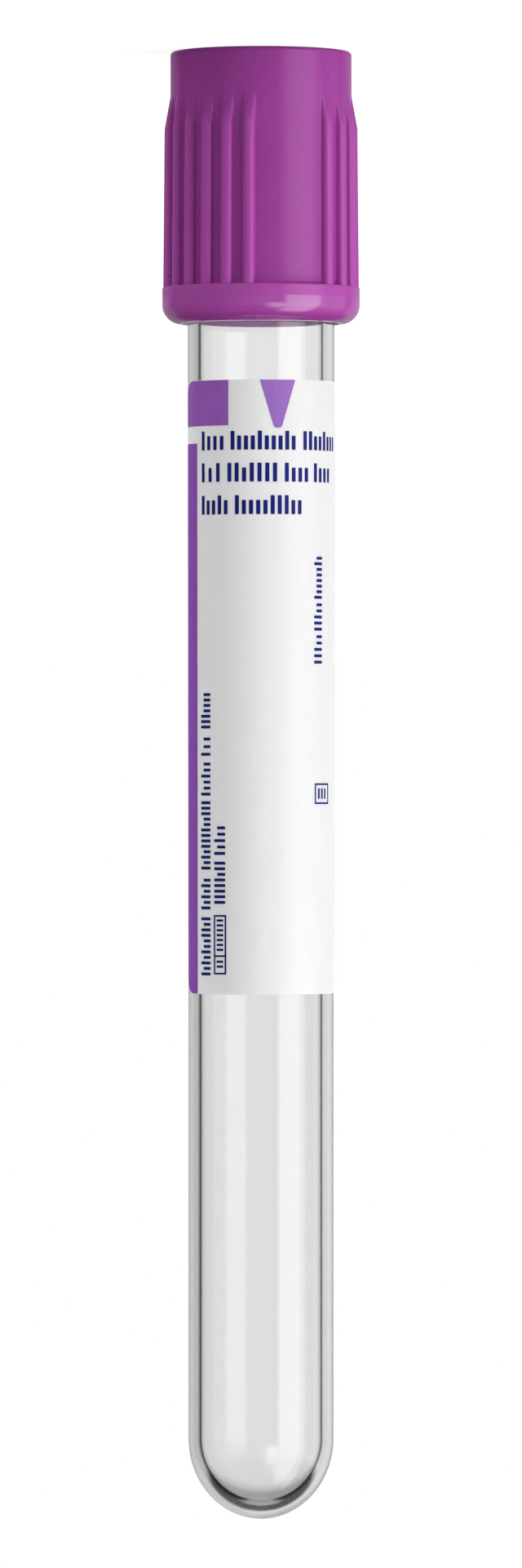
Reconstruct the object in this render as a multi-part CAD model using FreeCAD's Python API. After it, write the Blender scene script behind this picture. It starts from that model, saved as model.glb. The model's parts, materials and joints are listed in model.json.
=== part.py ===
import FreeCAD, Part
import math
import os

# A plastic blood collection tube, closed by a rubber stopper that sits in a
# ribbed plastic shield, with a paper label round one side.
#
# Every piece is first built upright about +Z: the lowest point of the round
# bottom is at height 0, and the front, which the label covers, faces -Y.
# Turns about the axis are in degrees from the front, positive towards +X.
# The last section turns the finished pieces over, because the tube can stand
# by itself only on the flat rim of its shield. All sizes are in millimetres.

V = FreeCAD.Vector
UP = V(0, 0, 1)
ORIGIN = V(0, 0, 0)

# ---- tube: clear moulded plastic
tube_length = 121.0
rim_radius = 6.5  # outside, at the open end
mould_draft = 0.1  # how much the radius shrinks from the rim to the foot
foot_height = 42.0  # up to here the wall is straight, and above it widens to the rim
tube_wall = 1.12
dome_height = 7.1  # of the round bottom, outside
bottom_thickness = 1.4
rim_round = 0.25

# ---- stopper: moulded rubber, a plug in the bore under a head on the rim
plug_clearance = 0.05  # between the plug and the bore, all round
plug_depth = 14.7  # below the rim
plug_round = 0.8
head_overhang = 0.5  # of the head, past the outside of the rim
head_thickness = 4.8
head_round = 0.4
well_radius = 3.4  # the hollow that a needle enters
well_round = 1.2
membrane_thickness = 5.1  # between the well and the recess
recess_radius = 3.3  # the hollow in the plug's underside
recess_depth = 4.8
recess_round = 2.2

# ---- shield: moulded plastic over the stopper and the end of the tube
head_gap = 0.1  # between the stopper's head and the shield, all round
shield_wall = 0.9
shield_height = 24.0
shelf_thickness = 1.2  # the ring that holds the stopper's head down
mouth_radius = 4.2  # the hole in that ring
collar_height = 2.5  # the rim that stands above that ring
collar_wall = 1.2
collar_round = 0.35
catch_gap = 0.22  # between the tube's rim and the ring that lifts the head
catch_height = 1.2
skirt_gap = 0.4  # between the tube's rim and the skirt, all round
flange_proud = 0.72
flange_height = 3.2
flange_round = 1.65
flange_edge_round = 0.12

# ---- grip ribs on the shield, in groups with plain panels between them
groups = 2
ribs_per_group = 10
rib_pitch = 14.07  # degrees
panel_turn = 19.0  # degrees, of the middle of one plain panel
rib_foot_proud = 0.65
rib_shoulder_proud = 0.53
rib_shoulder_drop = 6.8  # below the top of the shield
rib_tip_drop = 3.9
rib_crest_round = 0.56
rib_flank_draft = 12.0  # degrees
rib_root = 0.4  # how deep a rib reaches into the wall and the flange
rib_tip_sink = 0.01  # how deep the crest lies under the wall's surface at the tip
rib_tip_sag = 0.03  # from the crest to the sides of the almost flat section there

# ---- label: paper, bonded round the tube
label_gap = 5.15  # between the shield and the label
label_height = 53.95
label_width = 18.9  # round the tube
label_turn = 4.5  # degrees, of its middle
label_thickness = 0.08
label_corner = 1.5
bond_thickness = 0.02

# ---- radii and heights that follow
foot_radius = rim_radius - mould_draft
head_radius = rim_radius + head_overhang
chamber_radius = head_radius + head_gap
shield_radius = chamber_radius + shield_wall
flange_radius = shield_radius + flange_proud
skirt_radius = rim_radius + skirt_gap
catch_radius = rim_radius + catch_gap
plug_bottom = tube_length - plug_depth
shelf_underside = tube_length + head_thickness
shelf_top = shelf_underside + shelf_thickness
shield_top = shelf_top + collar_height
shield_bottom = shield_top - shield_height
flange_top = shield_bottom + flange_height
flange_fillet = min(flange_round, 0.95 * (flange_radius - skirt_radius))
label_top = shield_bottom - label_gap
label_bottom = label_top - label_height


def tube_radius(height):
    """The outside radius of the tube at a height above its dome."""
    climb = (height - foot_height) / (tube_length - foot_height)
    return foot_radius + mould_draft * max(climb, 0)


def bore_radius(height):
    return tube_radius(height) - tube_wall


def at(radius, height):
    """A point of the half section that is turned about +Z."""
    return V(radius, 0, height)


def chain(*points):
    """Straight edges through the points."""
    return [Part.makeLine(start, end) for start, end in zip(points, points[1:])]


def turned(edges):
    """The solid that a closed half section sweeps about +Z."""
    outline = Part.Wire(Part.__sortEdges__(edges))
    return Part.Face(outline).revolve(ORIGIN, UP, 360)


def rounded(solid, radius, *circles):
    """The solid with a fillet on its round edges at these (radius, height) pairs."""

    def is_named(edge):
        if edge.Degenerated or not isinstance(edge.Curve, Part.Circle):
            return False
        found = edge.Curve.Radius, edge.Curve.Center.z
        return any(math.dist(found, circle) < 1e-4 for circle in circles)

    return solid.makeFillet(radius, [edge for edge in solid.Edges if is_named(edge)])


def dome_edge(radius, depth):
    """A quarter ellipse from the axis, depth below the foot, out to radius there."""
    middle = at(0, dome_height)
    low = at(0, dome_height - depth)
    side = at(radius, dome_height)
    long_end, short_end = (low, side) if depth > radius else (side, low)
    ellipse = Part.Ellipse(long_end, short_end, middle)
    return Part.ArcOfEllipse(ellipse, 0, math.pi / 2).toBSpline().toShape()


def make_tube():
    foot_bore = bore_radius(dome_height)
    rim_bore = bore_radius(tube_length)
    outer_dome = dome_edge(foot_radius, dome_height)
    inner_dome = dome_edge(foot_bore, dome_height - bottom_thickness)
    bottom = chain(at(0, 0), at(0, bottom_thickness))
    wall = chain(
        at(foot_radius, dome_height),
        at(foot_radius, foot_height),
        at(rim_radius, tube_length),
        at(rim_bore, tube_length),
        at(foot_bore, foot_height),
        at(foot_bore, dome_height),
    )
    body = turned([outer_dome, inner_dome, *bottom, *wall])
    return rounded(body, rim_round, (rim_radius, tube_length), (rim_bore, tube_length))


def make_stopper():
    plug_foot = bore_radius(plug_bottom) - plug_clearance
    plug_neck = bore_radius(tube_length) - plug_clearance
    body = turned(
        chain(
            at(0, plug_bottom),
            at(plug_foot, plug_bottom),
            at(plug_neck, tube_length),
            at(head_radius, tube_length),
            at(head_radius, shelf_underside),
            at(0, shelf_underside),
            at(0, plug_bottom),
        )
    )
    body = rounded(body, plug_round, (plug_foot, plug_bottom))
    body = rounded(body, head_round, (head_radius, shelf_underside))

    recess_ceiling = plug_bottom + recess_depth
    recess = Part.makeCylinder(recess_radius, recess_depth, at(0, plug_bottom), UP)
    recess = rounded(recess, recess_round, (recess_radius, recess_ceiling))
    well_floor = recess_ceiling + membrane_thickness
    well_depth = shelf_underside - well_floor
    well = Part.makeCylinder(well_radius, well_depth, at(0, well_floor), UP)
    well = rounded(well, well_round, (well_radius, well_floor))
    return body.cut([recess, well])


def make_rib():
    """One rib at the front. It keeps its width all the way up, and from its shoulder
    to its tip it only loses height, until its crest sinks into the wall."""
    draft = math.radians(rib_flank_draft)
    root = shield_radius - rib_root
    shoulder = shield_top - rib_shoulder_drop
    tip = shield_top - rib_tip_drop
    foot_slant = (rib_foot_proud - rib_shoulder_proud) / (shoulder - flange_top)
    half_width = rib_crest_round * math.cos(draft)
    full_sag = rib_crest_round * (1 - math.sin(draft))

    def section(height, proud, sag):
        crest = shield_radius + proud
        spring = crest - sag
        half_root = half_width + (spring - root) * math.tan(draft)
        left, right = V(-half_width, -spring, height), V(half_width, -spring, height)
        crest_arc = Part.Arc(left, V(0, -crest, height), right).toShape()
        sides = chain(right, V(half_root, -root, height), V(-half_root, -root, height), left)
        return Part.Wire([crest_arc, *sides])

    sections = [
        section(flange_top - rib_root, rib_foot_proud + foot_slant * rib_root, full_sag),
        section(shoulder, rib_shoulder_proud, full_sag),
        section(tip, -rib_tip_sink, rib_tip_sag),
    ]
    return Part.makeLoft(sections, True, True)


def rib_turns():
    """The turn of each rib. A group is centred between two plain panels."""
    share = 360 / groups
    for group in range(groups):
        middle = panel_turn + share * (group + 0.5)
        for place in range(ribs_per_group):
            yield middle + rib_pitch * (place - (ribs_per_group - 1) / 2)


def make_shield():
    collar_bore = shield_radius - collar_wall
    catch_bottom = tube_length - catch_height
    lead_in = 2 * (skirt_radius - catch_radius)
    body = turned(
        chain(
            at(skirt_radius, shield_bottom),
            at(flange_radius, shield_bottom),
            at(flange_radius, flange_top),
            at(shield_radius, flange_top),
            at(shield_radius, shield_top),
            at(collar_bore, shield_top),
            at(collar_bore, shelf_top),
            at(mouth_radius, shelf_top),
            at(mouth_radius, shelf_underside),
            at(chamber_radius, shelf_underside),
            at(chamber_radius, tube_length),
            at(catch_radius, tube_length),
            at(catch_radius, catch_bottom),
            at(skirt_radius, catch_bottom - lead_in),
            at(skirt_radius, shield_bottom),
        )
    )
    body = rounded(body, flange_fillet, (flange_radius, shield_bottom))
    body = rounded(body, flange_edge_round, (flange_radius, flange_top))
    for bend in (
        (shield_radius, shield_top),
        (collar_bore, shield_top),
        (collar_bore, shelf_top),
        (mouth_radius, shelf_top),
    ):
        body = rounded(body, collar_round, bend)
    ribs = []
    for turn in rib_turns():
        rib = make_rib()
        rib.rotate(ORIGIN, UP, turn)
        ribs.append(rib)
    return body.fuse(ribs)


def make_label():
    middle_radius = tube_radius((label_bottom + label_top) / 2) + bond_thickness
    wrap = math.degrees(label_width / middle_radius)

    def skin(height, proud):
        return at(tube_radius(height) + bond_thickness + proud, height)

    outline = chain(
        skin(label_bottom, 0),
        skin(label_bottom, label_thickness),
        skin(label_top, label_thickness),
        skin(label_top, 0),
        skin(label_bottom, 0),
    )
    sheet = Part.Face(Part.Wire(outline)).revolve(ORIGIN, UP, wrap)
    # the outline is drawn at +X, 90 degrees round from the front
    sheet.rotate(ORIGIN, UP, label_turn - wrap / 2 - 90)

    # Each corner is cut by a tile less the end of a round bar. The pair is made at
    # the front, pointing outwards, and turned to where the corner's arc is centred.
    reach = 2 * rim_radius
    side_turn = wrap / 2 - math.degrees(label_corner / middle_radius)
    cutters = []
    for side in (-1, 1):
        for centre, end in (
            (label_bottom + label_corner, -1),
            (label_top - label_corner, 1),
        ):
            tile = Part.makeBox(2 * label_corner, reach, 2 * label_corner)
            tile.translate(V(-label_corner, -reach, centre - label_corner))
            tile.translate(V(side * label_corner, 0, end * label_corner))
            bar = Part.makeCylinder(label_corner, reach, at(0, centre), V(0, -1, 0))
            cutter = tile.cut(bar)
            cutter.rotate(ORIGIN, UP, label_turn + side * side_turn)
            cutters.append(cutter)
    return sheet.cut(cutters)


def stand_on_shield(shape):
    """Turn a piece over about the front, so that the shield's rim is at height 0."""
    shape.rotate(ORIGIN, V(0, 1, 0), 180)
    shape.translate(V(0, 0, shield_top))


pieces = {
    "tube": make_tube(),
    "stopper": make_stopper(),
    "shield": make_shield(),
    "label": make_label(),
}

os.makedirs("parts", exist_ok=True)
for name, shape in pieces.items():
    stand_on_shield(shape)
    shape.exportStep(f"parts/{name}.step")
    print(f"{name}: {len(shape.Solids)} solid, {shape.Volume:.2f} mm3, valid {shape.isValid()}")
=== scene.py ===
# %% [markdown]
# # A blood collection tube
# The real object is four separate pieces: a clear plastic tube with a round bottom, a rubber
# stopper in its mouth, a ribbed plastic shield that holds the stopper, and a paper label.
# The construction is already settled, at its real size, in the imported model. This script
# loads that model as a fixed frame and builds the looks round it. The places where the pieces
# meet are read from the frame, so that each new piece lies where its CAD node does.

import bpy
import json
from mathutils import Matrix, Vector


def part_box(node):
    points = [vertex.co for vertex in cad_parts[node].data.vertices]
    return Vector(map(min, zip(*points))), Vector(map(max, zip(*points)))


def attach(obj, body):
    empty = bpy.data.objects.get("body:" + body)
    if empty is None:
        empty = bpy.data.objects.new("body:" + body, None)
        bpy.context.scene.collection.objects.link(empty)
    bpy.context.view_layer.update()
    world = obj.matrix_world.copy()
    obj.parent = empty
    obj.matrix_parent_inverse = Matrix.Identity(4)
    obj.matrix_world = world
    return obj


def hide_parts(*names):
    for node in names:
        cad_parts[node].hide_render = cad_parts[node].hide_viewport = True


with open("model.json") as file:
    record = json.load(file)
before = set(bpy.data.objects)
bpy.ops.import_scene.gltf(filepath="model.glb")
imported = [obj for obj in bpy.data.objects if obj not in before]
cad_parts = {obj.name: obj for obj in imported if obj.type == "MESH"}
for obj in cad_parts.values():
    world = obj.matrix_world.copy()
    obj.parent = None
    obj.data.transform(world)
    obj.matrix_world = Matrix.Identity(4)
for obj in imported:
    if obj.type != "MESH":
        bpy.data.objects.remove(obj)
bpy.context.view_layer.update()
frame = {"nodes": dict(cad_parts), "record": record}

import json
import math
import random

import bmesh
import bpy
from mathutils import Vector

MM = 0.001
print("frame:", sorted(frame["nodes"]))

# %% [markdown]
# The boxes of the nodes and the record's mounts give the sizes that the pieces share. The
# model stands on the flat rim of its shield, so the tube hangs mouth down and its round
# bottom is the highest point.

# %% Read the shared sizes
record = frame["record"]
mounts = {mount["name"]: mount for mount in record["mounts"]}

rim_low, tube_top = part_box("tube")
stopper_low, stopper_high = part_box("stopper")
shield_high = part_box("shield")[1]
label_low, label_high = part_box("label")

grip = mounts["tube_wall"]
grip_half = grip["dims"]["length_mm"] * MM / 2
foot_radius = grip["dims"]["r_mm"] * MM
foot_z = grip["pos_m"][2] - grip_half  # above this the wall is straight
dome_z = grip["pos_m"][2] + grip_half  # above this the bottom is round
rim_z = rim_low.z
rim_radius = tube_top.x
apex_z = tube_top.z
flange_radius = mounts["shield_flange"]["dims"]["r_mm"] * MM
shield_z = shield_high.z
well_radius = mounts["stopper_well"]["dims"]["r_mm"] * MM

print("tube from", round(rim_z / MM, 2), "to", round(apex_z / MM, 2), "mm")
print("its radius over the foot:", round(foot_radius / MM, 2), "mm")

# %% [markdown]
# ## Camera
# The camera stands level, at about half the model's height, and is turned over, so its view
# has the closure at the top although the model stands on it. A long lens from 0.88 m keeps the
# tube's sides almost parallel.

# %% Set the camera
CAMERA_AWAY = 0.884
CAMERA_HEIGHT = 0.06463
LENS = 229.8

lens = bpy.data.cameras.new("camera")
lens.lens = LENS
lens.sensor_width = 36
lens.clip_start = 0.01
camera = bpy.data.objects.new("camera", lens)
camera.location = (0, -CAMERA_AWAY, CAMERA_HEIGHT)
camera.rotation_euler = (-math.pi / 2, 0, math.pi)
bpy.context.scene.collection.objects.link(camera)
bpy.context.scene.camera = camera
bpy.context.scene.view_settings.view_transform = "Standard"
print("camera at", tuple(camera.location))

# %% [markdown]
# ## Node helpers
# Materials are node trees. These helpers add a node, set its plain values and join it to
# others, so that each material below reads as a short list of what it is made of.


# %% Build node trees
def add_node(tree, kind, settings=None, values=None):
    """A new node, with its properties and its unlinked inputs set."""
    node = tree.nodes.new("ShaderNode" + kind)
    for name, value in (settings or {}).items():
        setattr(node, name, value)
    for name, value in (values or {}).items():
        node.inputs[name].default_value = value
    return node


def join(tree, source, target):
    """Link one node's output to another node's input."""
    tree.links.new(source, target)


def calculate(tree, operation, first, second=0.0):
    """A Math node on two numbers or sockets, as its output socket."""
    node = add_node(tree, "Math", {"operation": operation})
    for place, value in enumerate((first, second)):
        if isinstance(value, bpy.types.NodeSocket):
            join(tree, value, node.inputs[place])
        else:
            node.inputs[place].default_value = value
    return node.outputs[0]


def multiply(tree, *factors):
    """The product of several numbers or sockets, as its output socket."""
    product = factors[0]
    for factor in factors[1:]:
        product = calculate(tree, "MULTIPLY", product, factor)
    return product


def choose(tree, factor, when_zero, when_one):
    """A Mix node on two numbers or sockets, as its output socket."""
    node = add_node(tree, "Mix", {"data_type": "FLOAT"})
    join(tree, factor, node.inputs["Factor"])
    for name, value in (("A", when_zero), ("B", when_one)):
        if isinstance(value, bpy.types.NodeSocket):
            join(tree, value, node.inputs[name])
        else:
            node.inputs[name].default_value = value
    return node.outputs["Result"]


def bounced(tree, path, kind):
    """1 for a ray that has bounced off a surface in this way, as its output socket."""
    return calculate(tree, "GREATER_THAN", path.outputs[kind + " Depth"], 0.5)


# %% [markdown]
# ## Light
# One tall softbox stands at the front, to the right in the camera's view. Its lamp lights the
# matt surfaces. Its image in the gloss is drawn in the world instead, where its edges can be
# as soft as a real diffuser's, so the lamp itself is left out of reflections.

# %% Hang the softbox
SOFTBOX_TURN = math.radians(56)
SOFTBOX_SPAN = math.radians(30)
SOFTBOX_AWAY = 0.7
SOFTBOX_LOW = -0.004
SOFTBOX_HIGH = 0.85
SOFTBOX_RADIANCE = 4.6

box_width = 2 * SOFTBOX_AWAY * math.tan(SOFTBOX_SPAN / 2)
box_height = SOFTBOX_HIGH - SOFTBOX_LOW
softbox_light = bpy.data.lights.new("softbox", "AREA")
softbox_light.shape = "RECTANGLE"
softbox_light.size = box_width
softbox_light.size_y = box_height
softbox_light.energy = SOFTBOX_RADIANCE * math.pi * box_width * box_height
softbox = bpy.data.objects.new("softbox", softbox_light)
softbox.location = (
    -SOFTBOX_AWAY * math.sin(SOFTBOX_TURN),
    -SOFTBOX_AWAY * math.cos(SOFTBOX_TURN),
    (SOFTBOX_LOW + SOFTBOX_HIGH) / 2,
)
softbox.rotation_euler = (math.pi / 2, 0, -SOFTBOX_TURN)
softbox.visible_camera = False
softbox.visible_glossy = False
softbox.visible_transmission = False
bpy.context.scene.collection.objects.link(softbox)
print("softbox", round(box_width, 3), "by", round(box_height, 3), "m")

# %% [markdown]
# The world has three faces. What is seen straight is plain white, and so is what is seen
# straight through the clear plastic, except well above the level, where it darkens. What
# lights the matt surfaces is a soft fill, strongest from behind and from the right of the
# view. What is seen in a reflection, or in the wall of the tube where light bounces inside it,
# is the studio. That is what gives clear plastic its dark outlines and its upright bands.
# Cycles counts a ray's bounces, so the Light Path depths tell the three apart.
#
# The studio is a pale backdrop behind the object, with a glow high up on it. To the left of
# the backdrop it is dark. To the right come a narrow dark gap and then a white wall, which
# fades to grey round to the camera. In front stand the softbox, its weaker image in the table,
# and a reflector between it and the camera. Turns are in degrees from straight behind the
# object, growing towards the softbox. Heights are the upward share of a direction, from -1 to
# 1. An edge has two values, between which it fades.


# %% Draw the studio
def grade(tree, value, stops):
    """A ColorRamp through (value, level) stops, as its output socket."""
    low, high = stops[0][0], stops[-1][0]
    span = add_node(tree, "MapRange", values={"From Min": low, "From Max": high})
    join(tree, value, span.inputs["Value"])
    node = add_node(tree, "ValToRGB")
    elements = node.color_ramp.elements
    for place, level in stops[1:-1]:
        elements.new((place - low) / (high - low))
    for element, (place, level) in zip(elements, stops):
        element.color = (level, level, level, 1)
    join(tree, span.outputs["Result"], node.inputs["Fac"])
    return node.outputs["Color"]


def edge(tree, value, start, end):
    """A soft step from 0 at one value to 1 at another, as its output socket."""
    node = add_node(
        tree,
        "MapRange",
        {"interpolation_type": "SMOOTHSTEP"},
        {"From Min": start, "From Max": end},
    )
    join(tree, value, node.inputs["Value"])
    return node.outputs["Result"]


def band(tree, value, rise, fall):
    """A soft band of a value, which rises over one pair of values and falls over another."""
    return multiply(tree, edge(tree, value, *rise), edge(tree, value, *fall))


BACKDROP = (
    (-180, 0.55),
    (-150, 0.35),
    (-125, 0.12),
    (-60, 0.03),
    (-52, 0.03),
    (-49, 0.12),
    (-46, 0.30),
    (-44, 0.45),
    (-39, 0.58),
    (-32, 0.60),
    (-24, 0.66),
    (-15, 0.73),
    (-3, 0.72),
    (5, 0.95),
    (14, 1.00),
    (26, 0.88),
    (40, 0.80),
    (46, 0.70),
    (48.5, 0.40),
    (51, 0.05),
    (58, 0.03),
    (66, 1.00),
    (80, 1.00),
    (103, 1.00),
    (115, 0.80),
    (150, 0.50),
    (180, 0.55),
)
BACKDROP_HEIGHTS = ((-1, 0.3), (-0.4, 0.8), (-0.1, 1), (0.37, 1), (0.5, 0.04), (1, 0.04))
BACKDROP_IN_GLOSS = 0.4
GLOW_SIDE = (25, 12)
GLOW_HEIGHTS = ((-1, 0), (0.68, 0), (0.75, 0.36), (0.86, 0.36), (1, 0))
SOFTBOX_SIDES = ((103, 109), (154.5, 147))
SOFTBOX_ENDS = ((-0.075, -0.050), (0.94, 0.77))
SOFTBOX_IMAGE = 1.9
TABLE_HEIGHTS = ((-1, 0), (-0.6, 0), (-0.2, 0.9), (-0.08, 1), (-0.05, 0), (1, 0))
TABLE_IMAGE = 1.4
REFLECTOR_SIDES = ((148, 152), (179, 162))
REFLECTOR_HEIGHTS = ((-1, 0), (0.08, 0), (0.25, 1), (0.45, 1), (0.75, 0), (1, 0))
REFLECTOR_IMAGE = 2.0

world = bpy.data.worlds.new("studio")
bpy.context.scene.world = world
world.use_nodes = True
world.cycles.sampling_method = "NONE"
sky = world.node_tree
sky.nodes.clear()
direction = add_node(sky, "TexCoord").outputs["Generated"]
toward = add_node(sky, "SeparateXYZ")
join(sky, direction, toward.inputs[0])
height = toward.outputs["Z"]
away = multiply(sky, toward.outputs["X"], -1)
turn = calculate(sky, "ARCTAN2", away, toward.outputs["Y"])
turn = multiply(sky, turn, math.degrees(1))

path = add_node(sky, "LightPath")
share = choose(sky, path.outputs["Is Transmission Ray"], BACKDROP_IN_GLOSS, 1.0)
backdrop = multiply(
    sky, grade(sky, turn, BACKDROP), grade(sky, height, BACKDROP_HEIGHTS), share
)
glow = multiply(
    sky,
    edge(sky, calculate(sky, "ABSOLUTE", turn), *GLOW_SIDE),
    grade(sky, height, GLOW_HEIGHTS),
)
across = band(sky, turn, *SOFTBOX_SIDES)
box_image = multiply(sky, across, band(sky, height, *SOFTBOX_ENDS), SOFTBOX_IMAGE)
table_image = multiply(sky, across, grade(sky, height, TABLE_HEIGHTS), TABLE_IMAGE)
reflector = multiply(
    sky,
    band(sky, turn, *REFLECTOR_SIDES),
    grade(sky, height, REFLECTOR_HEIGHTS),
    REFLECTOR_IMAGE,
)
lights = calculate(sky, "MAXIMUM", calculate(sky, "ADD", box_image, table_image), reflector)
studio = calculate(sky, "ADD", calculate(sky, "ADD", backdrop, glow), lights)
print("backdrop stops:", len(BACKDROP))

# %% Light the world
FILL = 0.75
FILL_LEAN = (-0.38, 0.66, 0.2)
CLEAR_HEIGHTS = ((-1, 1), (0.27, 1), (0.36, 0.75), (0.44, 0.5), (1, 0.45))

lean = add_node(sky, "VectorMath", {"operation": "DOT_PRODUCT"})
join(sky, direction, lean.inputs[0])
lean.inputs[1].default_value = FILL_LEAN
fill = calculate(sky, "ADD", lean.outputs["Value"], FILL)
clear = choose(sky, path.outputs["Is Camera Ray"], grade(sky, height, CLEAR_HEIGHTS), 1.0)
seen = choose(sky, bounced(sky, path, "Glossy"), clear, studio)
radiance = choose(sky, bounced(sky, path, "Diffuse"), seen, fill)
background = add_node(sky, "Background")
join(sky, radiance, background.inputs["Color"])
output = add_node(sky, "OutputWorld")
join(sky, background.outputs[0], output.inputs["Surface"])
print("world fill", FILL)

# %% [markdown]
# ## Floor
# The floor is a pale plain sheet. Most of the brightness it shows is its own, so that it
# meets the white of the world without a line, and the rest is lit, so that it keeps the
# shadow of the object. The light it scatters on to the object is that of a plain matt sheet,
# and reflections look past it at the world.

# %% Lay the floor
FLOOR_SIZE = 8.0
FLOOR_MATT = 0.8
FLOOR_LIT_SHARE = 0.25
FLOOR_GLOW = 0.83

bpy.ops.object.select_all(action="DESELECT")
bpy.ops.mesh.primitive_plane_add(size=FLOOR_SIZE)
floor = bpy.context.object
floor.name = "floor"
floor_paint = bpy.data.materials.new("floor")
floor_paint.use_nodes = True
tree = floor_paint.node_tree
tree.nodes.clear()
path = add_node(tree, "LightPath")
scattered = bounced(tree, path, "Diffuse")
reflected = bounced(tree, path, "Glossy")
matt = add_node(tree, "BsdfDiffuse", values={"Color": (FLOOR_MATT,) * 3 + (1,)})
lit = add_node(tree, "BsdfDiffuse", values={"Color": (FLOOR_LIT_SHARE,) * 3 + (1,)})
glow = add_node(tree, "Emission", values={"Strength": FLOOR_GLOW})
shown = add_node(tree, "AddShader")
join(tree, lit.outputs[0], shown.inputs[0])
join(tree, glow.outputs[0], shown.inputs[1])
by_scatter = add_node(tree, "MixShader")
join(tree, scattered, by_scatter.inputs[0])
join(tree, shown.outputs[0], by_scatter.inputs[1])
join(tree, matt.outputs[0], by_scatter.inputs[2])
by_reflection = add_node(tree, "MixShader")
join(tree, calculate(tree, "SUBTRACT", reflected, scattered), by_reflection.inputs[0])
join(tree, by_scatter.outputs[0], by_reflection.inputs[1])
join(tree, add_node(tree, "BsdfTransparent").outputs[0], by_reflection.inputs[2])
join(tree, by_reflection.outputs[0], add_node(tree, "OutputMaterial").inputs["Surface"])
floor.data.materials.append(floor_paint)
print("floor", FLOOR_SIZE, "m across")

# %% [markdown]
# ## Finishes
# Two effects turn up on several pieces. Moulded plastic and rubber carry the fine, even grain
# of the mould and faint clouds in their colour, and printed paper has short fibres and small
# uneven patches of ink. Each effect is one node group. Its scales are in grains to the metre
# on Object coordinates, so that it keeps its real size on every piece.


# %% Group the shared effects
def new_group(name, inputs, outputs):
    """An empty shader node group with its sockets, and its inner input and output nodes."""
    group = bpy.data.node_groups.new(name, "ShaderNodeTree")
    for socket, kind, value in inputs:
        made = group.interface.new_socket(socket, in_out="INPUT", socket_type=kind)
        made.default_value = value
    for socket, kind in outputs:
        group.interface.new_socket(socket, in_out="OUTPUT", socket_type=kind)
    return group, group.nodes.new("NodeGroupInput"), group.nodes.new("NodeGroupOutput")


NUMBER = "NodeSocketFloat"
COLOUR = "NodeSocketColor"

grain_group, asked, given = new_group(
    "mould_grain",
    [
        ("Grains", NUMBER, 9000.0),
        ("Clouds", NUMBER, 250.0),
        ("Light", COLOUR, (1, 1, 1, 1)),
        ("Deep", COLOUR, (0.8, 0.8, 0.8, 1)),
        ("Roughness", NUMBER, 0.4),
        ("Unevenness", NUMBER, 0.08),
    ],
    [("Colour", COLOUR), ("Roughness", NUMBER), ("Height", NUMBER)],
)
place = add_node(grain_group, "TexCoord").outputs["Object"]
grain = add_node(grain_group, "TexNoise", values={"Detail": 2.0, "Roughness": 0.6})
clouds = add_node(grain_group, "TexNoise", values={"Detail": 3.0, "Roughness": 0.55})
for noise_node, scale in ((grain, "Grains"), (clouds, "Clouds")):
    join(grain_group, place, noise_node.inputs["Vector"])
    join(grain_group, asked.outputs[scale], noise_node.inputs["Scale"])
tint = add_node(grain_group, "Mix", {"data_type": "RGBA"})
join(grain_group, clouds.outputs[0], tint.inputs["Factor"])
join(grain_group, asked.outputs["Deep"], tint.inputs[6])
join(grain_group, asked.outputs["Light"], tint.inputs[7])
join(grain_group, tint.outputs[2], given.inputs["Colour"])
swing = calculate(grain_group, "SUBTRACT", clouds.outputs[0], 0.5)
swing = multiply(grain_group, swing, asked.outputs["Unevenness"])
rough = calculate(grain_group, "ADD", asked.outputs["Roughness"], swing)
join(grain_group, rough, given.inputs["Roughness"])
join(grain_group, grain.outputs[0], given.inputs["Height"])

fibre_group, asked, given = new_group(
    "paper_fibre",
    [("Base", COLOUR, (1, 1, 1, 1)), ("Fade", NUMBER, 0.1), ("Patches", NUMBER, 900.0)],
    [("Colour", COLOUR), ("Height", NUMBER)],
)
place = add_node(fibre_group, "TexCoord").outputs["Object"]
lay = add_node(fibre_group, "Mapping", values={"Scale": (2600.0, 2600.0, 500.0)})
join(fibre_group, place, lay.inputs["Vector"])
fibres = add_node(fibre_group, "TexNoise", values={"Scale": 1.0, "Detail": 3.0})
join(fibre_group, lay.outputs[0], fibres.inputs["Vector"])
patches = add_node(fibre_group, "TexNoise", values={"Detail": 2.0})
join(fibre_group, place, patches.inputs["Vector"])
join(fibre_group, asked.outputs["Patches"], patches.inputs["Scale"])
loss = multiply(fibre_group, fibres.outputs[0], patches.outputs[0], asked.outputs["Fade"])
keep = calculate(fibre_group, "SUBTRACT", 1.0, loss)
fade = add_node(fibre_group, "VectorMath", {"operation": "SCALE"})
join(fibre_group, asked.outputs["Base"], fade.inputs[0])
join(fibre_group, keep, fade.inputs["Scale"])
join(fibre_group, fade.outputs[0], given.inputs["Colour"])
join(fibre_group, fibres.outputs[0], given.inputs["Height"])
print("groups:", grain_group.name, fibre_group.name)

# %% [markdown]
# A finish is a Principled BSDF, and the groups feed only its colour, roughness and the height
# of a Bump node. Plain numbers are set on the shader's own sockets. Two more helpers give one
# part of a piece its own tone: one reads the place on the piece, and one blends the colour.


# %% Start a finish
def new_finish(name, **values):
    """A material with a Principled BSDF whose named inputs are set, as (tree, shader, material)."""
    material = bpy.data.materials.new(name)
    material.use_nodes = True
    tree = material.node_tree
    shader = tree.nodes["Principled BSDF"]
    for socket, value in values.items():
        shader.inputs[socket.replace("_", " ")].default_value = value
    return tree, shader, material


def add_bump(tree, shader, height, distance):
    """Relief of this depth on the shader's Normal."""
    bump = add_node(tree, "Bump", values={"Distance": distance})
    join(tree, height, bump.inputs["Height"])
    join(tree, bump.outputs[0], shader.inputs["Normal"])


def place_on_piece(tree):
    """The sockets X, Y and Z of a point's place on its piece."""
    place = add_node(tree, "SeparateXYZ")
    join(tree, add_node(tree, "TexCoord").outputs["Object"], place.inputs[0])
    return place.outputs


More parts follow.
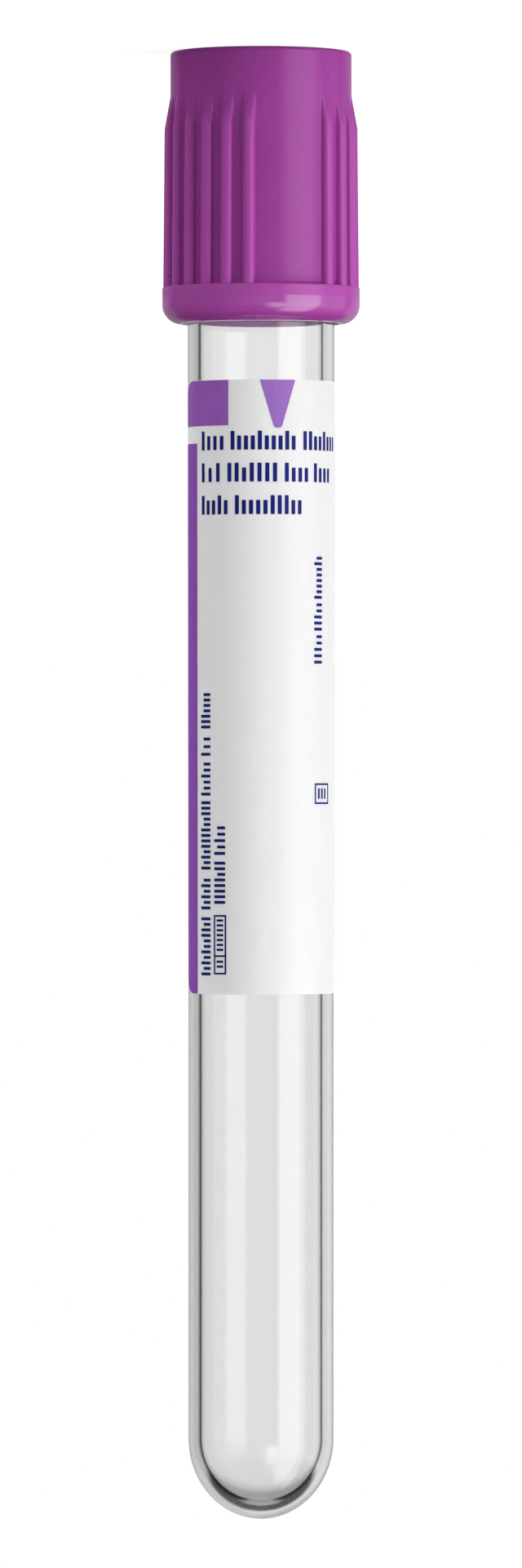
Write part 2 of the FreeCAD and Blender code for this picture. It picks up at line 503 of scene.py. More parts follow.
def blend_tone(tree, shader, factor, tone, blend="MIX"):
    """Blend a tone into the shader's colour by a factor."""
    mix = add_node(tree, "Mix", {"data_type": "RGBA", "blend_type": blend})
    join(tree, factor, mix.inputs["Factor"])
    join(tree, shader.inputs["Base Color"].links[0].from_socket, mix.inputs[6])
    mix.inputs[7].default_value = (*tone, 1)
    join(tree, mix.outputs[2], shader.inputs["Base Color"])


def moulded(name, light, deep, roughness, grains, relief):
    """A moulded plastic or rubber finish, with the mould's grain and faint clouds."""
    tree, shader, material = new_finish(name)
    effect = add_node(tree, "Group", {"node_tree": grain_group})
    settings = {
        "Light": (*light, 1),
        "Deep": (*deep, 1),
        "Roughness": roughness,
        "Grains": grains,
    }
    for socket, value in settings.items():
        effect.inputs[socket].default_value = value
    join(tree, effect.outputs["Colour"], shader.inputs["Base Color"])
    join(tree, effect.outputs["Roughness"], shader.inputs["Roughness"])
    add_bump(tree, shader, effect.outputs["Height"], relief)
    return material


FIBRE_RELIEF = 0.003 * MM


def printed(name, colour, fade, roughness):
    """A paper or ink finish, with fibres and uneven patches."""
    tree, shader, material = new_finish(name, Roughness=roughness)
    effect = add_node(tree, "Group", {"node_tree": fibre_group})
    effect.inputs["Base"].default_value = (*colour, 1)
    effect.inputs["Fade"].default_value = fade
    join(tree, effect.outputs["Colour"], shader.inputs["Base Color"])
    add_bump(tree, shader, effect.outputs["Height"], FIBRE_RELIEF)
    return material


# %% [markdown]
# The shield is a satin plastic. Light comes through the thin skirt of such a cap, and this
# shader lets none through, so the inside of the skirt is given a paler tone. The crests of the
# ribs are painted a little lighter than the rest, as a painted highlight, and a gloss coat lies
# on all but the first millimetre of the flange.

# %% Make the shield's finish
SKIRT_INSIDE = (7.4 * MM, 7.1 * MM)
SKIRT_HEIGHTS = (21.5 * MM, 22.5 * MM)
SKIRT_TONE = (0.97, 0.55, 0.96)
RIB_CRESTS = (8.2 * MM, 8.6 * MM)
CREST_PAINTED_HIGHLIGHT = (0.35, 0.05, 0.325)
COAT_HEIGHTS = (21.75 * MM, 21.9 * MM)
FLANGE_COAT = {"Coat Roughness": 0.08, "Coat IOR": 2.0}
FLANGE_COAT_WEIGHT = 0.55

purple_plastic = moulded(
    "purple_plastic",
    light=(0.298, 0.034, 0.278),
    deep=(0.27, 0.029, 0.252),
    roughness=0.28,
    grains=9000.0,
    relief=0.004 * MM,
)
tree = purple_plastic.node_tree
shader = tree.nodes["Principled BSDF"]
place = place_on_piece(tree)
squares = [calculate(tree, "POWER", place[axis], 2.0) for axis in "XY"]
radius = calculate(tree, "SQRT", calculate(tree, "ADD", *squares))
inside = multiply(tree, edge(tree, radius, *SKIRT_INSIDE), edge(tree, place["Z"], *SKIRT_HEIGHTS))
blend_tone(tree, shader, inside, SKIRT_TONE)
# painted highlight: the crests of the ribs are painted lighter than the wall
blend_tone(tree, shader, edge(tree, radius, *RIB_CRESTS), CREST_PAINTED_HIGHLIGHT)
coat = multiply(tree, edge(tree, place["Z"], *COAT_HEIGHTS), FLANGE_COAT_WEIGHT)
join(tree, coat, shader.inputs["Coat Weight"])
for socket, value in FLANGE_COAT.items():
    shader.inputs[socket].default_value = value
print("finish:", purple_plastic.name)

# %% [markdown]
# The stopper is matt rubber. The label is smooth white stock, and light spreads a little way
# inside it. The Standard view has no roll-off, so the side of the label that faces the softbox
# would come out plain white: there the paper is a shade greyer. Its four inks keep the paper's
# fibres.

# %% Make the rubber, the paper and the inks
LAMP_SIDE = (-2.2 * MM, -6.4 * MM)
LAMP_SIDE_TONE = (0.7, 0.7, 0.7)
PAPER_SPREAD = 0.28 * MM
PAPER_SHEEN = 0.2

stopper_rubber = moulded(
    "stopper_rubber",
    light=(0.30, 0.07, 0.26),
    deep=(0.24, 0.05, 0.21),
    roughness=0.7,
    grains=5000.0,
    relief=0.01 * MM,
)
label_paper = printed("label_paper", (0.865, 0.865, 0.87), fade=0.06, roughness=0.5)
tree = label_paper.node_tree
shader = tree.nodes["Principled BSDF"]
lamp_side = edge(tree, place_on_piece(tree)["X"], *LAMP_SIDE)
blend_tone(tree, shader, lamp_side, LAMP_SIDE_TONE, blend="MULTIPLY")
shader.inputs["Subsurface Weight"].default_value = 1.0
shader.inputs["Subsurface Radius"].default_value = (1, 1, 1)
shader.inputs["Subsurface Scale"].default_value = PAPER_SPREAD
shader.inputs["Specular IOR Level"].default_value = PAPER_SHEEN
ink_purple = printed("ink_purple", (0.27, 0.05, 0.46), fade=0.3, roughness=0.45)
ink_mauve = printed("ink_mauve", (0.305, 0.085, 0.48), fade=0.3, roughness=0.45)
ink_violet = printed("ink_violet", (0.29, 0.125, 0.49), fade=0.3, roughness=0.45)
ink_navy = printed("ink_navy", (0.003, 0.008, 0.16), fade=0.3, roughness=0.45)
ink_navy.node_tree.nodes["Principled BSDF"].inputs["Specular IOR Level"].default_value = PAPER_SHEEN
print("finishes:", stopper_rubber.name, label_paper.name, "and four inks")

# %% [markdown]
# The tube is the one clear finish. Its surface is polished, so its roughness is a plain low
# number, and light that only passes through on its way to a lamp goes straight on, a little
# dimmed, because a shadow ray can't bend.

# %% Make the clear plastic
SHADOW_TINT = (0.88, 0.88, 0.885, 1)

tree, shader, clear_plastic = new_finish(
    "clear_plastic",
    Base_Color=(0.9, 0.9, 0.9, 1),
    Roughness=0.015,
    IOR=1.57,
    Transmission_Weight=1.0,
)
path = add_node(tree, "LightPath")
straight = add_node(tree, "BsdfTransparent", values={"Color": SHADOW_TINT})
passing = add_node(tree, "MixShader")
join(tree, path.outputs["Is Shadow Ray"], passing.inputs[0])
join(tree, shader.outputs[0], passing.inputs[1])
join(tree, straight.outputs[0], passing.inputs[2])
join(tree, passing.outputs[0], tree.nodes["Material Output"].inputs["Surface"])
print("finish:", clear_plastic.name)

# %% [markdown]
# ## Drawing a half section
# The tube, the stopper and the shield are all round, so each is drawn as half a section and
# spun about the axis, as on a lathe. A section starts as one point: a small plane merged to
# its centre. Extruding that point draws the next line. A corner is rounded by a bevel on its
# vertex, which leaves a true arc where the two lines meet at a right angle.


# %% Draw and spin
def pick(piece, wanted):
    """Select the vertices whose place is wanted, and what lies between them."""
    bpy.ops.mesh.select_all(action="DESELECT")
    mesh = bmesh.from_edit_mesh(piece.data)
    for vertex in mesh.verts:
        vertex.select = wanted(vertex.co)
    mesh.select_flush(True)
    bmesh.update_edit_mesh(piece.data)


REACH = 0.004 * MM


def near(place):
    """A test for points that lie at a place."""
    target = Vector(place)
    return lambda point: (point - target).length < REACH


def draw_section(name, points):
    """A wire through (radius, height) points in the XZ plane, left open in edit mode."""
    bpy.ops.object.select_all(action="DESELECT")
    bpy.ops.mesh.primitive_plane_add(size=MM)
    piece = bpy.context.object
    piece.name = piece.data.name = name
    bpy.ops.object.mode_set(mode="EDIT")
    bpy.ops.mesh.select_mode(type="VERT")
    bpy.ops.mesh.select_all(action="SELECT")
    bpy.ops.mesh.merge(type="CENTER")
    bpy.ops.transform.translate(value=(points[0][0], 0, points[0][1]))
    for (old_radius, old_height), (radius, height) in zip(points, points[1:]):
        step = (radius - old_radius, 0, height - old_height)
        bpy.ops.mesh.extrude_region_move(TRANSFORM_OT_translate={"value": step})
    return piece


def close_section(piece, first, last):
    """Draw the line that joins the wire's two ends."""
    ends = [near((radius, 0, height)) for radius, height in (first, last)]
    pick(piece, lambda point: any(at_end(point) for at_end in ends))
    bpy.ops.mesh.edge_face_add()


def round_corner(piece, corner, radius, segments=5):
    """Bevel the wire's vertex at a (radius, height) corner."""
    pick(piece, near((corner[0], 0, corner[1])))
    bpy.ops.mesh.bevel(offset=radius, segments=segments, affect="VERTICES", profile=0.5)


def divide(piece, start, end, cuts):
    """Cut the straight line between two (radius, height) points into equal parts."""
    ends = [near((radius, 0, height)) for radius, height in (start, end)]
    pick(piece, lambda point: any(at_end(point) for at_end in ends))
    bpy.ops.mesh.subdivide(number_cuts=cuts)


def close_shell():
    """Merge the seams and poles, turn the faces outwards, and leave edit mode."""
    bpy.ops.mesh.select_all(action="SELECT")
    bpy.ops.mesh.remove_doubles(threshold=0.001 * MM)
    bpy.ops.mesh.normals_make_consistent(inside=False)
    bpy.ops.object.mode_set(mode="OBJECT")


ABOUT_AXIS = {"center": (0, 0, 0), "axis": (0, 0, 1)}


def spin_whole(steps):
    """Turn the open section once round the axis and close the shell."""
    bpy.ops.mesh.select_all(action="SELECT")
    bpy.ops.mesh.spin(steps=steps, angle=2 * math.pi, **ABOUT_AXIS)
    close_shell()


def finish_piece(piece, body, material, nodes=(), sharp=30):
    """Shade a finished piece and fasten it to its body of the frame."""
    bpy.ops.object.select_all(action="DESELECT")
    bpy.context.view_layer.objects.active = piece
    piece.select_set(True)
    bpy.ops.object.shade_smooth_by_angle(angle=math.radians(sharp))
    bpy.ops.object.modifier_add(type="WEIGHTED_NORMAL")
    piece.modifiers[-1].keep_sharp = True
    bpy.ops.object.modifier_apply(modifier=piece.modifiers[-1].name)
    if not piece.data.materials:
        piece.data.materials.append(material)
    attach(piece, body)
    if nodes:
        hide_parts(*nodes)
    print(piece.name, "has", len(piece.data.polygons), "faces")


def dome_points(radius, height, count):
    """(radius, height) points of a half ellipse over the straight wall, from its top down."""
    for step in range(count + 1):
        angle = math.pi / 2 * (1 - step / count)
        yield radius * math.cos(angle), dome_z + height * math.sin(angle)


# %% [markdown]
# ## Tube
# The tube is one moulding with a wall of about a millimetre, and light shows both of its
# faces, so it has to be a closed shell with a real inside. Its wall is straight over the foot
# and widens very slightly to the rim, as a moulding does to leave its mould. A cylinder with
# a half sphere would miss the taper, the thicker bottom and the flatter dome, so the whole
# section is drawn: down the outside from the bottom's highest point, round the rim and back
# up the inside.

# %% Model the tube
WALL = 1.12 * MM
BOTTOM = 1.4 * MM
RIM_ROUND = 0.25 * MM
TUBE_STEPS = 256
DOME_STEPS = 32

bore_radius = rim_radius - WALL
foot_bore = foot_radius - WALL
outside = list(dome_points(foot_radius, apex_z - dome_z, DOME_STEPS))
inside = list(dome_points(foot_bore, apex_z - dome_z - BOTTOM, DOME_STEPS))
wall = [(foot_radius, foot_z), (rim_radius, rim_z), (bore_radius, rim_z), (foot_bore, foot_z)]
tube = draw_section("clear_tube", outside + wall + inside[::-1])
for corner in wall[1:3]:
    round_corner(tube, corner, RIM_ROUND)
spin_whole(TUBE_STEPS)
finish_piece(tube, "tube", clear_plastic, ["tube"])

# %% [markdown]
# ## Stopper
# The stopper is a thick rubber plug under a head that rests on the tube's rim. It is hollow
# from both ends, with a membrane between, which the needle pierces. The shield hides it, but
# it is modelled whole, because the closure comes off. It is round, so it is spun like the tube.

# %% Model the stopper
PLUG_CLEARANCE = 0.05 * MM
PLUG_ROUND = 0.8 * MM
HEAD_ROUND = 0.4 * MM
WELL_DEPTH = 9.6 * MM
WELL_ROUND = 1.2 * MM
RECESS_RADIUS = 3.3 * MM
RECESS_DEPTH = 4.8 * MM
RECESS_ROUND = 2.2 * MM
OPENING_ROUND = 0.3 * MM
STOPPER_STEPS = 160

head_z = stopper_low.z
plug_z = stopper_high.z
head_radius = stopper_high.y
plug_share = (plug_z - rim_z) / (foot_z - rim_z)
plug_radius = bore_radius - PLUG_CLEARANCE
plug_foot = plug_radius - plug_share * (rim_radius - foot_radius)
recess_floor = plug_z - RECESS_DEPTH
well_floor = head_z + WELL_DEPTH
section = [
    (0, recess_floor),
    (RECESS_RADIUS, recess_floor),
    (RECESS_RADIUS, plug_z),
    (plug_foot, plug_z),
    (plug_radius, rim_z),
    (head_radius, rim_z),
    (head_radius, head_z),
    (well_radius, head_z),
    (well_radius, well_floor),
    (0, well_floor),
]
stopper = draw_section("rubber_stopper", section)
round_corner(stopper, section[1], RECESS_ROUND, 8)
round_corner(stopper, section[2], OPENING_ROUND, 4)
round_corner(stopper, section[3], PLUG_ROUND, 6)
round_corner(stopper, section[6], HEAD_ROUND, 4)
round_corner(stopper, section[7], OPENING_ROUND, 4)
round_corner(stopper, section[8], WELL_ROUND, 6)
spin_whole(STOPPER_STEPS)
finish_piece(stopper, "stopper", stopper_rubber, ["stopper"])

# %% [markdown]
# ## Shield
# The shield is a satin plastic cap with a flange at its lower edge and two groups of ten grip
# ribs, with a plain panel between the groups. A rib is narrow, with a round crest and steep
# sides. It keeps its width all the way, and near its tip it only loses height. Ribs could be
# separate bars cut into the cap with booleans, but their small fillets would be lost, so each
# is raised out of the wall instead.
#
# The section is drawn once, as for a lathe. It is then spun through one rib's share of the
# turn, in uneven steps, so that columns of points lie where the rib has its root, its flank
# and its crest.

# %% Draw the shield's section
SHIELD_RADIUS = 8.0 * MM
SKIRT_RADIUS = 6.9 * MM
CHAMBER_RADIUS = 7.1 * MM
CATCH_RADIUS = 6.72 * MM
MOUTH_RADIUS = 4.2 * MM
COLLAR_BORE = 6.8 * MM
COLLAR_HEIGHT = 2.5 * MM
SHELF_TOP = 3.7 * MM
CATCH_HEIGHT = 1.2 * MM
CATCH_LEAD = 0.36 * MM
FLANGE_HEIGHT = 3.2 * MM
FLANGE_ROUND = 1.65 * MM
FLANGE_EDGE = 0.12 * MM
COLLAR_ROUND = 0.35 * MM
FLANGE_FILLET = 0.3 * MM
RIB_TIP = 3.9 * MM
RIB_SHOULDER = 6.8 * MM
TIP_ROWS = 12
CREST_ROWS = 10

flange_z = shield_z - FLANGE_HEIGHT
catch_z = rim_z + CATCH_HEIGHT
section = [
    (SKIRT_RADIUS, shield_z),
    (flange_radius, shield_z),
    (flange_radius, flange_z),
    (SHIELD_RADIUS, flange_z),
    (SHIELD_RADIUS, RIB_SHOULDER),
    (SHIELD_RADIUS, RIB_TIP),
    (SHIELD_RADIUS, 0),
    (COLLAR_BORE, 0),
    (COLLAR_BORE, COLLAR_HEIGHT),
    (MOUTH_RADIUS, COLLAR_HEIGHT),
    (MOUTH_RADIUS, SHELF_TOP),
    (CHAMBER_RADIUS, SHELF_TOP),
    (CHAMBER_RADIUS, rim_z),
    (CATCH_RADIUS, rim_z),
    (CATCH_RADIUS, catch_z),
    (SKIRT_RADIUS, catch_z + CATCH_LEAD),
]
shield = draw_section("ribbed_shield", section)
close_section(shield, section[0], section[-1])
divide(shield, section[4], section[5], TIP_ROWS - 1)
divide(shield, section[3], section[4], CREST_ROWS - 1)
round_corner(shield, section[1], FLANGE_ROUND, 12)
round_corner(shield, section[2], FLANGE_EDGE, 4)
round_corner(shield, section[3], FLANGE_FILLET, 5)
for bend in section[6:10]:
    round_corner(shield, bend, COLLAR_ROUND, 5)
print("section has", len(bmesh.from_edit_mesh(shield.data).verts), "points")

# %% [markdown]
# A rib's cross-section is an arc on top of steep flanks, with a small fillet at each foot. The
# function gives its height over the wall at a distance from its middle, as a share of the full
# height, and the columns stand where that shape turns: close together on the flank, and
# further apart on the crest.

# %% Choose the rib's columns
GROUPS = 2
RIBS = 10
PITCH = math.radians(14.07)
PANEL_TURN = math.radians(19.0)
CREST_ROUND = 0.56 * MM
FULL_HEIGHT = 0.65 * MM
SHOULDER_HEIGHT = 0.53 * MM
FLANK_DRAFT = math.radians(12)
ROOT_ROUND = 0.12 * MM
ROOT_RISE = 0.35 * ROOT_ROUND
ROOT_LEAD = 0.04 * MM
CREST_COLUMNS = (0, 0.25, 0.48, 0.68, 0.84, 0.94, 1)
FOOT_COLUMNS = (-0.02 * MM, 0.03 * MM, ROOT_ROUND)

half_width = CREST_ROUND * math.cos(FLANK_DRAFT)
spring = FULL_HEIGHT - CREST_ROUND * (1 - math.sin(FLANK_DRAFT))
half_foot = half_width + spring * math.tan(FLANK_DRAFT)
column_places = [share * half_width for share in CREST_COLUMNS]
column_places += [half_foot + step for step in FOOT_COLUMNS]
column_turns = [place / SHIELD_RADIUS for place in column_places]


def rib_shape(place):
    """The height of a rib over the wall at a distance from its middle, as a share."""
    if place <= half_width:
        fall = CREST_ROUND - math.sqrt(CREST_ROUND**2 - place**2)
        return 1 - fall / FULL_HEIGHT
    flank = spring - (place - half_width) / math.tan(FLANK_DRAFT)
    past_root = (place - half_foot + ROOT_LEAD) / (ROOT_ROUND + ROOT_LEAD)
    fillet = ROOT_RISE * max(0, 1 - past_root) ** 2
    return max(flank, fillet) / FULL_HEIGHT


def rib_height(height):
    """The height of a rib's crest over the wall, at a height of the shield."""
    if height <= RIB_TIP:
        return 0.0
    if height <= RIB_SHOULDER:
        return SHOULDER_HEIGHT * (height - RIB_TIP) / (RIB_SHOULDER - RIB_TIP)
    climb = (height - RIB_SHOULDER) / (flange_z - RIB_SHOULDER)
    return SHOULDER_HEIGHT + (FULL_HEIGHT - SHOULDER_HEIGHT) * min(climb, 1)


print("rib columns at", [round(math.degrees(turn), 2) for turn in column_turns])

# %% [markdown]
# The section is spun from the middle of one groove to the middle of the next. Then each row
# of each column is moved out from the axis with a resize, to where the rib's surface is.
# Where the flange already stands further out than the rib, the row stays.

# %% Raise one rib
CLOSE = 0.0001 * MM
CLOSE_TURN = 0.0001

turns = [-PITCH / 2] + [-turn for turn in column_turns[:0:-1]] + column_turns + [PITCH / 2]
bpy.ops.mesh.select_all(action="SELECT")
for old, new in zip(turns, turns[1:]):
    bpy.ops.mesh.spin(steps=1, angle=new - old, **ABOUT_AXIS)


def on_column(radius, height, turn):
    """A test for the two points of a row that lie at this turn to each side of the rib."""

    def wanted(point):
        if abs(point.z - height) > CLOSE:
            return False
        if abs(math.hypot(point.x, point.y) - radius) > 2 * CLOSE:
            return False
        from_middle = abs(math.atan2(point.y, point.x) + PITCH / 2)
        return abs(from_middle - turn) < CLOSE_TURN

    return wanted


rows = set()
for vertex in bmesh.from_edit_mesh(shield.data).verts:
    radius = math.hypot(vertex.co.x, vertex.co.y)
    if radius > SHIELD_RADIUS - CLOSE and RIB_TIP < vertex.co.z < flange_z + FLANGE_EDGE:
        rows.add((round(radius, 8), round(vertex.co.z, 8)))
for radius, height in sorted(rows):
    for place, turn in zip(column_places, column_turns):
        reach = SHIELD_RADIUS + rib_height(height) * rib_shape(place)
        if reach > radius + CLOSE:
            pick(shield, on_column(radius, height, turn))
            factor = reach / radius
            bpy.ops.transform.resize(value=(factor, factor, 1), center_override=(0, 0, 0))
print("raised", len(rows), "rows of a rib")

# %% [markdown]
# One rib is enough to model. Spin with duplicates copies it to the rest of its group, the
# group's edge is spun on as a plain panel, and the two together are copied to the other side.

# %% Copy the rib round the shield
PANEL_STEPS = 14

panel_span = 2 * math.pi / GROUPS - RIBS * PITCH
bpy.ops.mesh.select_all(action="SELECT")
bpy.ops.mesh.spin(steps=RIBS - 1, dupli=True, angle=(RIBS - 1) * PITCH, **ABOUT_AXIS)
pick(shield, lambda point: abs(math.atan2(point.y, point.x)) < CLOSE_TURN)
bpy.ops.mesh.spin(steps=PANEL_STEPS, angle=-panel_span, **ABOUT_AXIS)
bpy.ops.mesh.select_all(action="SELECT")
bpy.ops.mesh.spin(steps=GROUPS - 1, dupli=True, angle=2 * math.pi / GROUPS, **ABOUT_AXIS)
close_shell()
shield.rotation_euler.z = -math.pi / 2 - PANEL_TURN - panel_span / 2
bpy.ops.object.transform_apply(rotation=True)
finish_piece(shield, "shield", purple_plastic, ["shield"], sharp=35)

# %% [markdown]
# ## Label
# The label is a strip of thin white stock with rounded corners, bonded round the front of the
# tube. It is easiest to make flat: a plane with bevelled corners, cut into narrow strips so
# that it can bend, and given its thickness. A Simple Deform bend would roll it into a plain
# cylinder, but the tube is a slight cone and the label lies on it to a few hundredths of a
# millimetre, so the points are wrapped by a formula instead.

# %% Lay flat pieces and wrap them
LABEL_THICKNESS = 0.08 * MM
BOND = 0.02 * MM


def tube_radius(height):
    """The outside radius of the tube at a height of the frame."""
    climb = (foot_z - height) / (foot_z - rim_z)
    return foot_radius + (rim_radius - foot_radius) * max(climb, 0)


wrap_radius = tube_radius((label_low.z + label_high.z) / 2) + BOND


def start_flat(name):
    """An empty flat piece, open in edit mode."""
    bpy.ops.object.select_all(action="DESELECT")
    bpy.ops.mesh.primitive_plane_add(size=MM)
    piece = bpy.context.object
    piece.name = piece.data.name = name
    bpy.ops.object.mode_set(mode="EDIT")
    bpy.ops.mesh.select_mode(type="VERT")
    bpy.ops.mesh.delete(type="VERT")
    return piece


def add_tile(left, right, top, bottom, corner=0.0, segments=3):
    """Add a tile that faces the front. Left and right run round the tube, from its front."""
    middle = (-(left + right) / 2, 0, (top + bottom) / 2)
    bpy.ops.mesh.primitive_plane_add(size=1, location=middle, rotation=(math.pi / 2, 0, 0))
    size = (right - left, 1, bottom - top)
    bpy.ops.transform.resize(value=size, center_override=middle)
    if corner:
        bpy.ops.mesh.bevel(offset=corner, segments=segments, affect="VERTICES", profile=0.5)


def cut_strips(piece, width):
    """Cut a flat piece along upright lines, so that it can bend round the tube."""
    places = [vertex.co.x for vertex in bmesh.from_edit_mesh(piece.data).verts]
    first = math.ceil(min(places) / width)
    last = math.floor(max(places) / width)
    for line in range(first, last + 1):
        bpy.ops.mesh.select_all(action="SELECT")
        bpy.ops.mesh.bisect(plane_co=(line * width, 0, 0), plane_no=(1, 0, 0))
    bpy.ops.object.mode_set(mode="OBJECT")


def thicken(piece, thickness):
    """Give a flat piece its thickness, on its outer side."""
    modifier = piece.modifiers.new("thickness", "SOLIDIFY")
    modifier.thickness = thickness
    modifier.offset = 1
    bpy.context.view_layer.objects.active = piece
    bpy.ops.object.modifier_apply(modifier="thickness")


def wrap_round(piece, proud):
    """Lay a flat piece round the tube, this far off its wall."""
    for vertex in piece.data.vertices:
        place = vertex.co.copy()
        radius = tube_radius(place.z) + proud - place.y
        turn = place.x / wrap_radius
        vertex.co = (radius * math.sin(turn), -radius * math.cos(turn), place.z)


# %% Model the label
LABEL_WIDTH = 18.9 * MM
LABEL_TURN = math.radians(4.5)
LABEL_CORNER = 1.5 * MM
STRIP = 0.3 * MM

label_left = LABEL_TURN * wrap_radius - LABEL_WIDTH / 2
label_right = label_left + LABEL_WIDTH
label = start_flat("wrap_label")
add_tile(label_left, label_right, label_low.z, label_high.z, LABEL_CORNER, 10)
cut_strips(label, STRIP)
thicken(label, LABEL_THICKNESS)
wrap_round(label, BOND)
finish_piece(label, "tube", label_paper, ["label"])

# %% [markdown]
# ## Print
# The label is printed in shades of purple and in navy. Colour could be painted by the
# material, but an edge drawn by a texture is soft, so each area of ink is a film of its own,
# two hundredths of a millimetre thick. The words and codes of such a label have no place on a
# reusable part: rows of bars stand for them, and the block, the boxes, the stripe and the arrow
# are plain shapes.

# %% Print the coloured areas
INK = 0.02 * MM
INK_SUNK = 0.006 * MM
INK_PROUD = BOND + LABEL_THICKNESS - INK_SUNK
MARGIN = 0.03 * MM
TIP_SHARE = 0.2  # the share of its width that the arrow keeps at its tip
TIP_ROUND = 0.22 * MM

label_top = label_low.z
left_edge = label_left + MARGIN
block_right = -2.93 * MM
block_bottom = label_top + 4.01 * MM
stripe_right = -6.64 * MM
stripe_top = label_top + 5.53 * MM
stripe_bottom = label_high.z - MARGIN
arrow_left, arrow_right = -0.11 * MM, 3.06 * MM
arrow_tip = label_top + 4.24 * MM


def round_one(piece, left, height, radius):
    """Bevel the one corner of a flat piece that lies here."""
    pick(piece, near((-left, 0, height)))
    bpy.ops.mesh.bevel(offset=radius, segments=10, affect="VERTICES", profile=0.5)


def finish_print(piece, material):
    """Cut, thicken and wrap a piece of print, and fasten it to the tube."""
    cut_strips(piece, STRIP)
    thicken(piece, INK)
    wrap_round(piece, INK_PROUD)
    finish_piece(piece, "tube", material)


block_print = start_flat("print_block")
add_tile(left_edge, block_right, label_top + MARGIN, block_bottom)
round_one(block_print, left_edge, label_top + MARGIN, LABEL_CORNER - MARGIN)
finish_print(block_print, ink_mauve)

stripe_print = start_flat("print_purple")
add_tile(left_edge, stripe_right, stripe_top, stripe_bottom)
round_one(stripe_print, left_edge, stripe_bottom, LABEL_CORNER - MARGIN)
finish_print(stripe_print, ink_purple)

arrow_print = start_flat("print_arrow")
add_tile(arrow_left, arrow_right, label_top + MARGIN, arrow_tip)
pick(arrow_print, lambda point: point.z > arrow_tip - MARGIN)
arrow_middle = (-(arrow_left + arrow_right) / 2, 0, arrow_tip)
bpy.ops.transform.resize(value=(TIP_SHARE, 1, 1), center_override=arrow_middle)
bpy.ops.mesh.bevel(offset=TIP_ROUND, segments=5, affect="VERTICES", profile=0.5)
finish_print(arrow_print, ink_violet)

# %% [markdown]
# A bar is modelled once for each length, upright for the rows and lying for the columns of
# small print, and copied to its places. A fixed seed decides which bars are long, so that
# every run gives the same rows. All these places are in millimetres on the flat label, from
# the front line and from the label's top.

# %% Print the navy rows
BAR_CORNER = 0.06 * MM
WORD_ROWS = {  # the top of a row, and where each of its words starts and ends
    4.50: [(-5.9, -3.4), (-2.7, 3.1), (3.9, 8.5)],
    7.30: [(-5.9, -3.8), (-3.0, 1.4), (2.1, 4.4), (5.1, 7.4)],
    10.15: [(-5.9, -3.0), (-2.3, 3.7)],
}
TALL_BAR = 1.66
LOW_BAR = 1.24
TALL_SHARE = 0.3
ROW_STROKE = 0.36
ROW_PITCH = 0.6
WORD_COLUMNS = {  # the left side and width of a column, and where each of its words starts and ends
    (-6.04, 1.2): [
        (27.5, 30.6),
        (31.4, 33.0),
        (33.6, 36.5),
        (37.0, 43.0),
        (43.8, 46.5),
        (47.2, 52.3),
    ],
    (-4.4, 1.15): [(39.2, 41.7), (42.3, 46.0)],
    (5.14, 1.05): [(15.5, 19.2), (19.6, 22.0), (22.4, 24.9)],
}
SHORT_BAR = 0.72  # the share of its column's width that a short bar keeps
LONG_SHARE = 0.35
COLUMN_STROKE = 0.26
COLUMN_PITCH = 0.46
SEED = 11

pick_length = random.Random(SEED)


def model_bar(name, width, height):
    """One flat bar with round corners, which starts at the origin."""
    bar = start_flat(name)
    add_tile(0, width * MM, 0, height * MM, BAR_CORNER)
    bpy.ops.object.mode_set(mode="OBJECT")
    return bar


def stamp(bar, left, top):
    """A copy of a bar, with its own mesh, at a place on the flat label."""
    copy = bar.copy()
    copy.data = bar.data.copy()
    copy.location = (-left * MM, 0, label_top + top * MM)
    bpy.context.scene.collection.objects.link(copy)
    return copy


def bar_places(word, stroke, pitch):
    """Where the bars of a word start, spaced evenly from its start to its end."""
    start, end = word
    count = int((end - start - stroke) / pitch) + 1
    step = (end - start - stroke) / (count - 1)
    return [start + place * step for place in range(count)]


stamps = []
tall_bar = model_bar("tall", ROW_STROKE, TALL_BAR)
low_bar = model_bar("low", ROW_STROKE, LOW_BAR)
for top, words in WORD_ROWS.items():
    for word in words:
        lefts = bar_places(word, ROW_STROKE, ROW_PITCH)
        for left in lefts:
            if left == lefts[0] or pick_length.random() < TALL_SHARE:
                stamps.append(stamp(tall_bar, left, top))
            else:
                stamps.append(stamp(low_bar, left, top + TALL_BAR - LOW_BAR))

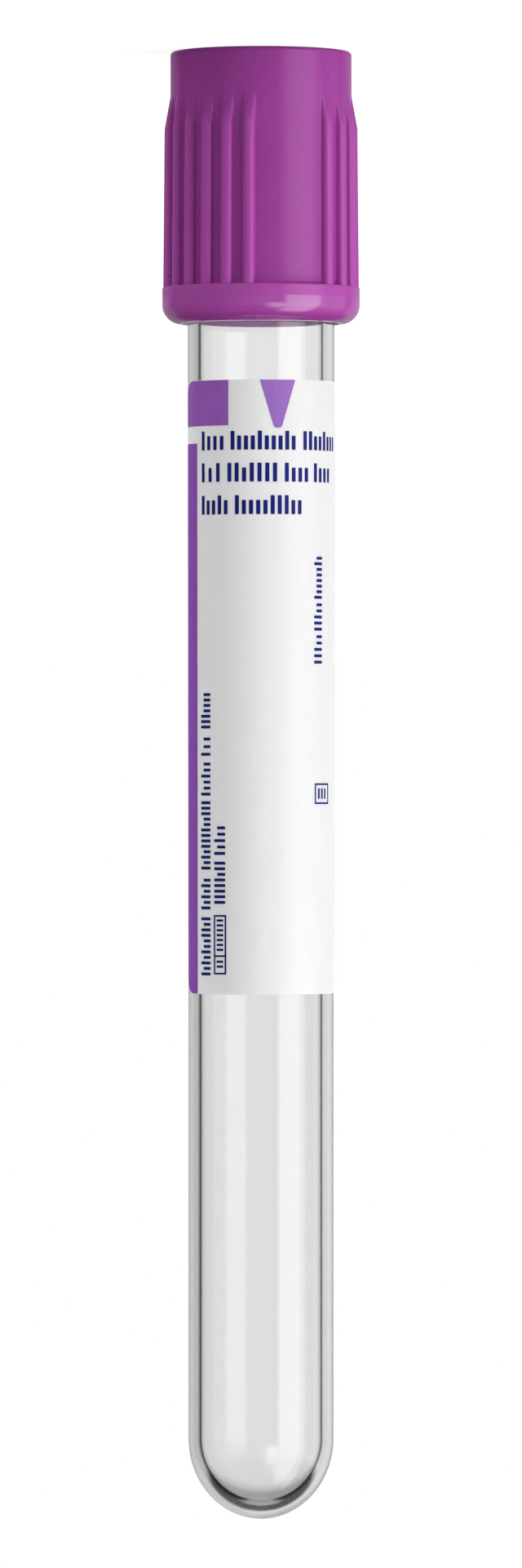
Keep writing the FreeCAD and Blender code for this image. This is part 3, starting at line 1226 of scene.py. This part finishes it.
models = [tall_bar, low_bar]
for (left, width), words in WORD_COLUMNS.items():
    long_bar = model_bar("long", width, COLUMN_STROKE)
    short_bar = model_bar("short", SHORT_BAR * width, COLUMN_STROKE)
    models += [long_bar, short_bar]
    for word in words:
        tops = bar_places(word, COLUMN_STROKE, COLUMN_PITCH)
        for top in tops:
            if top == tops[-1] or pick_length.random() < LONG_SHARE:
                stamps.append(stamp(long_bar, left, top))
            else:
                stamps.append(stamp(short_bar, left + (1 - SHORT_BAR) * width, top))
for model in models:
    bpy.data.objects.remove(model)
print("stamped", len(stamps), "bars")

# %% [markdown]
# A box is four thin lines with a few short marks inside. The stamped bars then join the boxes,
# so that all the navy print is one piece, which is wrapped round the tube in one go.

# %% Print the outlined boxes
LINE = 0.15
BOXES = [  # left, right, top and bottom
    (5.24, 7.30, 35.42, 37.24),
    (-4.45, -3.16, 46.98, 50.66),
    (-4.45, -3.16, 50.51, 52.20),
]
MARK_ROWS = [(5.66, 0.22, 0.45, 3)]  # the first mark's left, its width, the pitch and the count
MARK_ROW_ENDS = (35.85, 36.8)
MARK_COLUMNS = [(47.36, 0.2, 0.43, 7), (50.98, 0.2, 0.43, 2)]  # the same, going down
MARK_COLUMN_ENDS = (-4.14, -3.46)

navy_print = start_flat("print_navy")


def add_mark(left, right, top, bottom, corner=0.0):
    """Add a tile by its edges in millimetres on the flat label."""
    add_tile(left * MM, right * MM, label_top + top * MM, label_top + bottom * MM, corner)


def add_frame(left, right, top, bottom):
    """Add the four lines of an outlined box."""
    add_mark(left, right, top, top + LINE)
    add_mark(left, right, bottom - LINE, bottom)
    add_mark(left, left + LINE, top + LINE, bottom - LINE)
    add_mark(right - LINE, right, top + LINE, bottom - LINE)


for box in BOXES:
    add_frame(*box)
for first, width, pitch, count in MARK_ROWS:
    for place in range(count):
        left = first + place * pitch
        add_mark(left, left + width, *MARK_ROW_ENDS, BAR_CORNER)
for first, width, pitch, count in MARK_COLUMNS:
    for place in range(count):
        top = first + place * pitch
        add_mark(*MARK_COLUMN_ENDS, top, top + width, BAR_CORNER)
bpy.ops.object.mode_set(mode="OBJECT")
bpy.ops.object.select_all(action="DESELECT")
for bar in stamps:
    bar.select_set(True)
bpy.ops.object.transform_apply(location=True)
navy_print.select_set(True)
bpy.context.view_layer.objects.active = navy_print
bpy.ops.object.join()
bpy.ops.object.mode_set(mode="EDIT")  # finish_print starts there
finish_print(navy_print, ink_navy)
